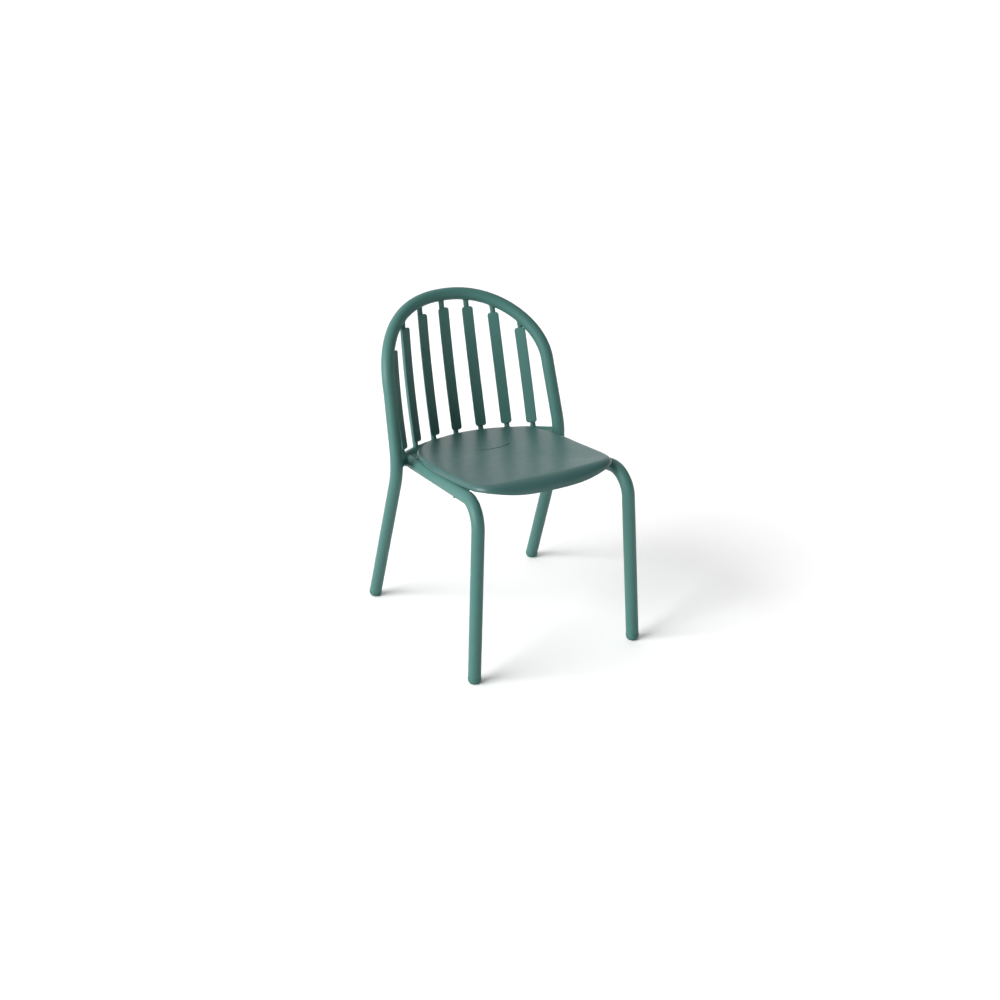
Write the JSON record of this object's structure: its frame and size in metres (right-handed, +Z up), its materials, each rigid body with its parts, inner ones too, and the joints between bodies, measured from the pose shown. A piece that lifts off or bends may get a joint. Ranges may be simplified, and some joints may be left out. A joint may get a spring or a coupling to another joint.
{
  "type": "stacking chair",
  "caption": "Armless stacking chair: bent tube frame, arched barrel back with upright slats and a curved sheet seat with a drain slot.",
  "frame": {"origin": "on the floor, at the middle of the plan view", "axes": "+Z up, front of the seat faces -Y, +X is the viewer's right when looking at the front"},
  "size_m": [0.479, 0.5853, 0.756],
  "materials": {
    "powder_frame": "satin powder coat",
    "powder_seat": "satin powder coat",
    "powder_slats": "satin powder coat",
    "glide_plastic": "matte"
  },
  "bodies": {
    "root": {"back_hoop": "powder_frame", "front_leg_left": "powder_frame", "front_leg_right": "powder_frame", "rear_bow": "powder_frame", "seat_plate": "powder_seat", "slat_rod_1": "powder_slats", "slat_rod_2": "powder_slats", "slat_rod_3": "powder_slats", "slat_rod_4": "powder_slats", "slat_rod_5": "powder_slats", "slat_rod_6": "powder_slats", "slat_rod_7": "powder_slats", "slat_plate_1": "powder_slats", "slat_plate_2": "powder_slats", "slat_plate_3": "powder_slats", "slat_plate_4": "powder_slats", "slat_plate_5": "powder_slats", "slat_plate_6": "powder_slats", "slat_plate_7": "powder_slats", "glide_front_left": "glide_plastic", "glide_front_right": "glide_plastic", "glide_rear_left": "glide_plastic", "glide_rear_right": "glide_plastic", "stack_pad_left": "glide_plastic", "stack_pad_right": "glide_plastic"}
  },
  "joints": []
}
